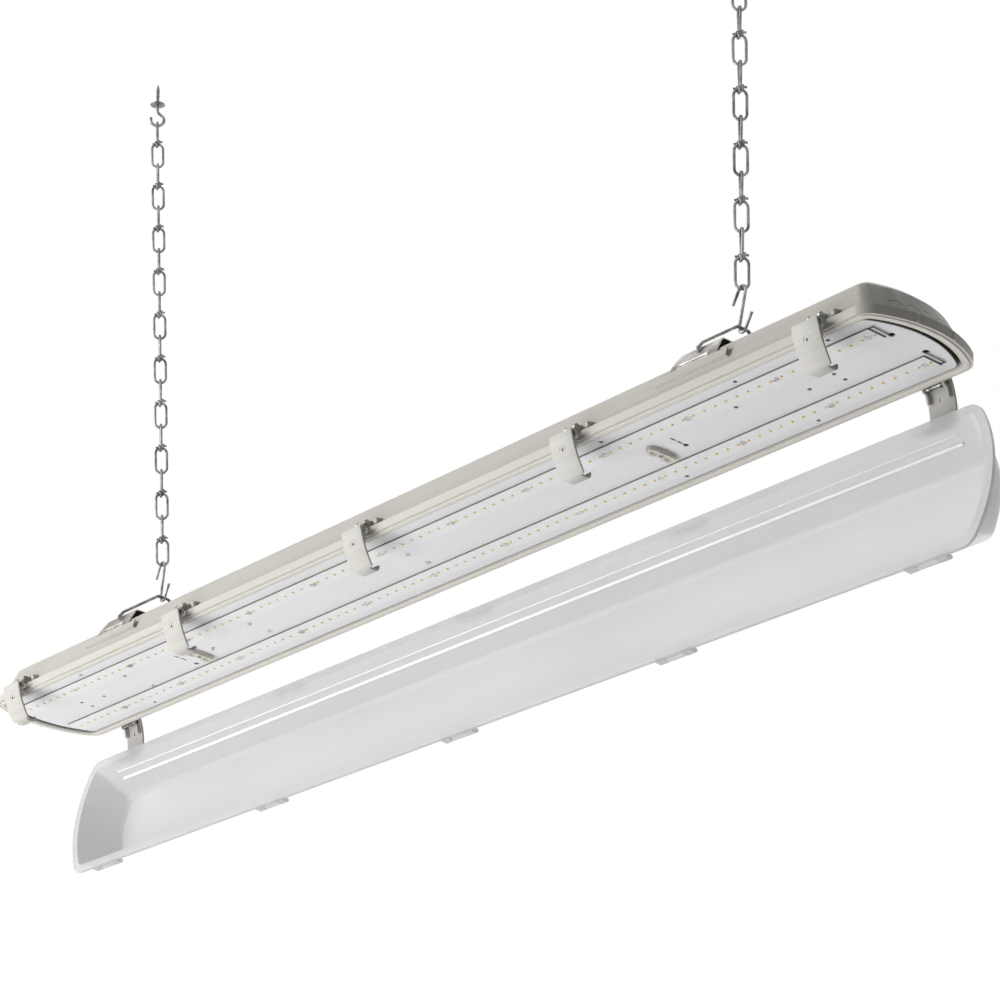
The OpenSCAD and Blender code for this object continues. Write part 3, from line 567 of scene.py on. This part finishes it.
# ------------------------------------------------------------------ S-hooks
# Open hooks of hard wire: the lower bend takes the bail, the upper bend takes the first link.
S_BEND = 0.004
S_END = 0.015
FLARE = 31

hook_steel = bright_steel("hook_wire", srgb(150, 152, 152), srgb(74, 76, 76), 0.32)
cross = math.degrees(math.asin(1 / (S_HOOK_LENGTH / (2 * S_BEND) - 1)))
middle = 2 * S_BEND / math.tan(math.radians(cross))
s_turn = 180 + cross - FLARE
start = shift(-S_BEND * math.cos(math.radians(FLARE)), 0,
              HOOK_Z + S_HOOK_LENGTH - S_BEND + S_BEND * math.sin(math.radians(FLARE)))
for side, s in SIDES:
    hook = wire("hook", [S_END, (S_BEND, s_turn), middle, (S_BEND, -s_turn), S_END], S_HOOK_WIRE, 14, 9)
    settle(hook, tip_to_chain(s) @ start @ rotate(FLARE, "Y") @ shift(0, 0, -S_END))
    hook.name = side + "_wire_hook"
    finish(hook, hook_steel, side + "_s_hook")


# ------------------------------------------------------------------ Bails
# Spring wire bent to a flat triangle over the roof; its feet are turned in through the bracket's legs.
spring_steel = bright_steel("spring_wire", srgb(132, 132, 128), srgb(58, 58, 56), 0.3)
half = [(-0.045, 0.043), (-0.051, 0.043), (-0.0435, 0.053), (-0.006, BAIL)]
outline = half + [(-a, b) for a, b in reversed(half)]
for side, s in SIDES:
    bail = wire_through(side + "_spring_bail", outline, 0.0022, BAIL_WIRE)
    settle(bail, rim @ shift(s * SPAN / 2, 0, 0) @ rotate(90, "Z"))
    finish(bail, spring_steel, side + "_bail")


# ------------------------------------------------------------------ Brackets
# Saddles of stainless sheet over the roof. Each foot ends in two rolled lips with a bead at either end.
WALL_LEAN = 16.5
LEG_Y, LEG_Z = 0.0505, 0.035  # a point of the leg's outer face, which leans in upwards
LIP = (0.034, 0.0016, 0.0026)
LIP_PROUD = 0.0024
BEAD = (0.0022, 0.0018, 0.0066)

stainless = rolled_sheet("stainless", srgb(226, 220, 216), srgb(178, 172, 168), 0.24)
# A darker copy of the same stainless, as painted shade: the saddles take it, and the rolled lips take the
# lighter copy.
stainless_painted_shade = rolled_sheet("stainless_shaded_copy", srgb(186, 181, 176), srgb(128, 123, 118), 0.3)
lean_back = rotate(WALL_LEAN, "X")
for side, s in SIDES:
    parts = []
    for leg_side in (-1, 1):
        leg_place = shift(s * SPAN / 2, 0, 0) @ on_side(leg_side)
        for z in (0.0338, 0.0298):
            y = LEG_Y - (z - LEG_Z) * math.tan(math.radians(WALL_LEAN)) + LIP_PROUD
            parts.append(bar(LIP, leg_place @ shift(0, y, z) @ lean_back, 0.0007, 3))
        for dx in (-0.0165, 0.0165):
            parts.append(bar(BEAD, leg_place @ shift(dx, 0.0537, 0.0318) @ lean_back, 0.0006))
    finish(from_solid(side + "_bracket", side + "_saddle", 0.00025), stainless_painted_shade, side + "_bracket")
    trim(joined(side + "_rolled_lips", parts), stainless, side + "_bracket")


# ------------------------------------------------------------------ Housing
# Injection-moulded light-grey plastic with glass fibre: flow lines run along it, and the skin is satin.
# Rings are pressed into its curved end walls, and wedges stand beside its latch bosses.
WALL_ARC, WALL_INSET = 0.0997, 0.0084  # of an end wall at the rings' height
RIM_ARC = 0.10766
RING_LEAN = 90 - 29.7

housing_grey = moulded("housing_grey", srgb(203, 200, 192), srgb(190, 187, 178), 0.34)
shell = from_solid("housing", "moulded_housing", 0.0006)
rings = []
for s, ys in ((1, (-0.032, -0.0165, -0.001, 0.0145, 0.030)), (-1, (-0.030, 0.030))):
    for y in ys:
        end = HALF_LENGTH - WALL_INSET - WALL_ARC + math.sqrt(WALL_ARC ** 2 - y * y)
        bpy.ops.mesh.primitive_torus_add(major_segments=40, minor_segments=6, major_radius=0.0074,
                                         minor_radius=0.0005)
        along_wall = rotate(math.degrees(math.asin(y / WALL_ARC)), "Z") @ rotate(RING_LEAN, "Y")
        rings.append(settle(bpy.context.object, rim @ on_side(s) @ shift(end, y, 0.0145) @ along_wall))
even(smooth(cut(shell, *rings)))
bosses = []
for s in (-1, 1):
    for y in (-0.021, 0.018):
        end = HALF_LENGTH - RIM_ARC + math.sqrt(RIM_ARC ** 2 - y * y)
        bpy.ops.mesh.primitive_cylinder_add(vertices=20, radius=0.0022, depth=0.0076)
        nub = settle(bpy.context.object, rim @ on_side(s) @ shift(end - 0.0014, y, 0.004))
        bosses.append(modified(nub, "BEVEL", width=0.0005, segments=2, limit_method="ANGLE"))
    for k in range(-2, 3):
        for dx in (-0.0168, 0.0168):
            wedge_place = on_side(s) @ shift(k * LATCH_PITCH + dx, 0.0585, 0.0128) @ rotate(-14, "X")
            bosses.append(bar((0.0045, 0.008, 0.0055), wedge_place, 0.0012))
finish(joined("moulded_housing", [shell, *bosses]), housing_grey, "housing")


# ------------------------------------------------------------------ Gasket
# A foamed strip poured into the rim's groove; it stands a millimetre proud.
foam, shader, at = material("foam")
cell = at.noise(2400, 2)
feed(shader, Base_Color=cell.within(0.3, 0.7).mix(srgb(226, 223, 215), srgb(214, 211, 202)),
     Roughness=0.85, Normal=cell.bump(0.5, 0.0002))
finish(from_solid("gasket", "poured_gasket", 0.0008), foam, "gasket")


# ------------------------------------------------------------------ Conduit hub and latch pins
# A moulded hub with a twelve-sided head through the left end wall, and its locknut inside.
# Short steel pins are pressed through the latch bosses.
hub_grey = moulded("hub_grey", srgb(190, 187, 180), srgb(178, 175, 167), 0.4, 3.0)
finish(from_solid("conduit_hub", "end_hub", 0.0008), hub_grey, "conduit_hub")
finish(from_solid("hub_locknut", "inner_locknut", 0.0006), hub_grey, "hub_locknut")
finish(from_solid("latch_pins", "pressed_pins", 0.0003), hook_steel, "latch_pins")


# ------------------------------------------------------------------ Latches
# Steel links and levers of satin grey, five a side. A lever is a bowed plate with two ears, and a
# catch under it that takes the lens's crossbar in its curl.
SEAT = (-0.0074332, -0.0341065)  # middle of the catch's curl, outwards and up
CURL = 0.0033
SHEET = 0.002
BORE_Z = -0.011
EAR_X = 0.0107
NEAR_ANGLE, FOLDED_ANGLE = -19, 188
BOW = [(0.0050, 0.0032), (0.0052, -0.002), (0.0053, -0.008), (0.0050, -0.014), (0.0042, -0.020),
       (0.0029, -0.026), (0.0013, -0.031), (-0.0006, -0.0345)]
BOW_WIDTHS = [0.0137, 0.014, 0.014, 0.014, 0.014, 0.0138, 0.0134, 0.0122]

nylon = moulded("lever_nylon", srgb(194, 192, 186), srgb(184, 182, 175), 0.4, 4.0)
plate = folded("plate", BOW, BOW_WIDTHS, SHEET, 0.0003)
bpy.ops.mesh.primitive_cylinder_add(vertices=24, radius=0.0014, depth=0.012, location=(0, 0.004, BORE_Z),
                                    rotation=(math.pi / 2, 0, 0))
bore = bpy.context.object
bpy.ops.mesh.primitive_torus_add(major_segments=32, minor_segments=6, major_radius=0.0036,
                                 minor_radius=0.0003, location=(0, 0.0062, BORE_Z),
                                 rotation=(math.pi / 2, 0, 0))
cut(plate, bore, bpy.context.object)
curl = [(SEAT[0] + CURL * math.cos(math.radians(a)), SEAT[1] + CURL * math.sin(math.radians(a)))
        for a in range(-60, -196, -15)]
catch_line = [(0.0024, -0.0275), (0.0006, -0.0325), (-0.0022, -0.0362), *curl]
catch = folded("catch", catch_line, [0.0094] * len(catch_line), SHEET, 0.0003)
ears = []
for s in (-1, 1):
    bpy.ops.mesh.primitive_cylinder_add(vertices=28, radius=0.0031, depth=0.0022,
                                        rotation=(0, math.pi / 2, 0))
    knuckle = bpy.context.object
    bpy.ops.mesh.primitive_cube_add(size=1)
    web = bpy.context.object
    web.scale = (0.0022, 0.0048, 0.0145)
    web.location = (0, 0.0026, -0.0046)
    for o in (knuckle, web):
        settle(o, shift(s * EAR_X, 0, 0))
        ears.append(modified(o, "BEVEL", width=0.0003, segments=2, limit_method="ANGLE"))
lever = smooth(joined("lever", [plate, catch, *ears]), 40)

steel_link = bright_steel("link_steel", srgb(150, 150, 144), srgb(84, 84, 78), 0.3)
for side, s in (("near", -1), ("far", 1)):
    for i in range(1, 6):
        link_node, lever_node = "%s_link_%d" % (side, i), "%s_lever_%d" % (side, i)
        shank = from_solid(link_node, "%s_latch_link_%d" % (side, i), 0.0003)
        finish(shank, steel_link, link_node)
        if s < 0:
            pivot, angle = PIVOT_OPEN, NEAR_ANGLE
        elif i in (1, 5):
            pivot, angle = PIVOT_OPEN, FAR_LEAN
        else:
            pivot, angle = PIVOT_CLOSED, FOLDED_ANGLE
        o = copied(lever)
        settle(o, rim @ on_side(s) @ shift((i - 3) * LATCH_PITCH * s, *pivot) @ rotate(angle, "X"))
        o.name = o.data.name = "%s_latch_lever_%d" % (side, i)
        finish(o, nylon, lever_node)
bpy.data.objects.remove(lever)


# ------------------------------------------------------------------ Lens
# One tub with a prismatic skin: fine ribs along it scatter the light, so it looks milky.
# Two thin beads run along the inside of each side wall. They are painted whiter than the tub, as a painted
# highlight for the bright lines that light makes along them.
ribbed, shader, at = material("ribbed_lens")
ribs = (at.axis(1) + at.axis(2)) * 3400
ribs = ribs.work("SINE", ribs)
haze = at.scaled(0.3, 1, 1).noise(12, 3, 0.5)
feed(shader, Base_Color=haze.within(0.35, 0.65).mix(srgb(208, 208, 210), srgb(203, 203, 205)),
     Roughness=0.4 + haze * 0.1, Transmission_Weight=0.3, IOR=1.49, Alpha=0.66,
     Normal=(ribs * 0.5 + haze).bump(0.25, 0.0003))
finish(from_solid("lens", "ribbed_lens_tub", 0.0008, 3, 22), ribbed, "lens")

BEAD_LENGTH = 1.17
BEAD_LINES = ((0.0439, -0.0207, 0.0015), (0.0482, -0.0125, 0.0006))  # outwards, up, radius
beads = []
for w, z, r in BEAD_LINES:
    for s in (-1, 1):
        bpy.ops.mesh.primitive_cylinder_add(vertices=16, radius=r, depth=BEAD_LENGTH,
                                            rotation=(0, math.pi / 2, 0))
        bead = eased(bpy.context.object, r * 0.6, 50)
        beads.append(settle(bead, hang @ shift(0, s * w, z)))
# Painted highlight: the beads are the lens's own plastic, coloured near white to stand for the light they
# catch.
lens_bead_painted_highlight = moulded("lens_bead_painted_highlight", srgb(246, 246, 247), srgb(240, 240, 241), 0.3, 4.0)
finish(smooth(joined("lens_beads", beads), 60), lens_bead_painted_highlight, "lens")


# ------------------------------------------------------------------ Gear tray
# Folded sheet steel, powder-coated white inside and out, with holes for the boards' screws.
coat, shader, at = material("tray_coat")
peel = at.noise(900, 2)
feed(shader, Base_Color=peel.within(0.3, 0.7).mix(srgb(231, 231, 232), srgb(228, 228, 230)),
     Roughness=peel * 0.1 + 0.4, Normal=peel.bump(0.12, 0.0001))
finish(from_solid("gear_tray", "folded_tray", 0.0002), coat, "gear_tray")


# ------------------------------------------------------------------ Boards
# Long boards with a white lacquer on their two faces and darker edges: partly the bare substrate's own
# colour, partly painted shade for the shadow line along each edge.
mask, shader, at = material("board_lacquer_and_edge_shade")
weave = at.noise(1400, 2)
facing = at.put("TexCoord", output=1).axis(2)
# Faces that point up or down are lacquer white. The edges take the dark colour, which is partly the
# substrate and partly painted shade.
front = facing.work("ABSOLUTE", facing).within(0.4, 0.6)
white = weave.within(0.3, 0.7).mix(srgb(236, 236, 236), srgb(232, 232, 233))
feed(shader, Base_Color=front.mix(srgb(112, 108, 100), white), Roughness=0.34 + weave * 0.1,
     Normal=weave.bump(0.1, 0.0001))
for side in ("near", "far"):
    finish(from_solid(side + "_board", side + "_light_board"), mask, side + "_board")


# ------------------------------------------------------------------ Emitters
# Ninety-six a board: a cream cup with a yellow phosphor window. The row starts at the right end.
EMITTERS = 96
EMITTER_PITCH = 1.20726 / EMITTERS
FIRST_EMITTER = 0.59963 - 0.25 * EMITTER_PITCH
EMITTER_Y = 0.031

cup_white = moulded("cup_white", srgb(243, 233, 204), srgb(236, 224, 190), 0.3, 5.0)
phosphor, shader, at = material("phosphor")
grain = at.noise(1500, 2)
feed(shader, Base_Color=grain.within(0.3, 0.7).mix(srgb(246, 222, 150), srgb(238, 204, 120)),
     Roughness=0.3)
for side, s in (("near", -1), ("far", 1)):
    node = side + "_emitters"
    finish(from_solid(node, side + "_emitter_row", 0.0002), cup_white, node)
    bpy.ops.mesh.primitive_cylinder_add(vertices=16, radius=0.0012, depth=0.0002,
                                        location=(FIRST_EMITTER, s * EMITTER_Y, -0.0018))
    window = modified(bpy.context.object, "BEVEL", width=0.00006, segments=1, limit_method="ANGLE")
    modified(window, "ARRAY", count=EMITTERS, use_relative_offset=False, use_constant_offset=True,
             constant_offset_displace=(-EMITTER_PITCH, 0, 0))
    window.name = side + "_phosphor_windows"
    trim(settle(window, rim), phosphor, node)


# ------------------------------------------------------------------ Screws
# Small slotted screws, zinc-plated, through boards and tray and under the driver.
screw_steel = bright_steel("screw_zinc", srgb(235, 235, 232), srgb(170, 170, 168), 0.2)
for node, name in (("board_screws", "slotted_screws"), ("driver_screws", "driver_fixings")):
    finish(from_solid(node, name, 0.0002), screw_steel, node)


# ------------------------------------------------------------------ Turn latches
# Moulded wings on stems, each wing hollowed on both sides of its middle; a quarter turn frees the
# tray from the housing's posts.
wing_nylon = moulded("wing_nylon", srgb(214, 210, 200), srgb(196, 192, 182), 0.4, 4.0)
for side, x in (("left", -0.340), ("right", 0.324)):
    wing = from_solid(side + "_turn_latch", side + "_wing_latch")
    hollows = []
    for y in (-0.0082, 0.0082):
        bpy.ops.mesh.primitive_uv_sphere_add(segments=24, ring_count=16, radius=1)
        bpy.context.object.scale = (0.0034, 0.0048, 0.0022)
        hollows.append(settle(bpy.context.object, rim @ shift(x + 0.0008, y, -0.0041)))
    bpy.ops.mesh.primitive_cylinder_add(vertices=24, radius=0.0026, depth=0.003)
    hollows.append(settle(bpy.context.object, rim @ shift(x + 0.0012, 0, -0.0035)))
    eased(cut(wing, *hollows), 0.0003, 40)
    finish(even(smooth(wing)), wing_nylon, side + "_turn_latch")


# ------------------------------------------------------------------ Driver
# A folded steel case on the hidden side of the tray, with a plain coat.
case, shader, at = material("driver_case")
spangle = at.put("TexVoronoi", Vector=at, Scale=260)
feed(shader, Base_Color=spangle.within(0, 0.8).mix(srgb(150, 152, 154), srgb(178, 180, 182)),
     Metallic=0.7, Roughness=0.4 + spangle * 0.1)
finish(from_solid("driver", "driver_box", 0.0006), case, "driver")


# ------------------------------------------------------------------ Terminal block and ground screw
# Ivory thermoset block with three wire gates, and a plated ground screw with a green head.
ivory = moulded("terminal_ivory", srgb(232, 226, 206), srgb(220, 212, 190), 0.45, 5.0)
finish(from_solid("terminal_block", "three_way_block", 0.0004), ivory, "terminal_block")
green, shader, at = material("ground_green")
head = at.axis(2).within(-0.65006, -0.64996)
feed(shader, Metallic=0.7, Roughness=0.34 + at.noise(900, 2) * 0.1,
     Base_Color=head.mix(srgb(196, 196, 192), srgb(60, 140, 74)))
finish(from_solid("ground_screw", "green_screw", 0.0003), green, "ground_screw")


# ------------------------------------------------------------------ Leads
# Stranded wires in smooth plastic: dark from the boards, pale from the terminal block.
LEADS = (  # node, name, slot, and the two shades of the plastic
    ("board_leads", "dark_leads", "lead_black", srgb(42, 42, 44), srgb(26, 26, 28)),
    ("driver_leads", "pale_leads", "lead_white", srgb(220, 220, 216), srgb(204, 204, 200)),
)
for node, name, slot, light, dark in LEADS:
    finish(from_solid(node, name), moulded(name + "_skin", light, dark, 0.32, 4.0), node)
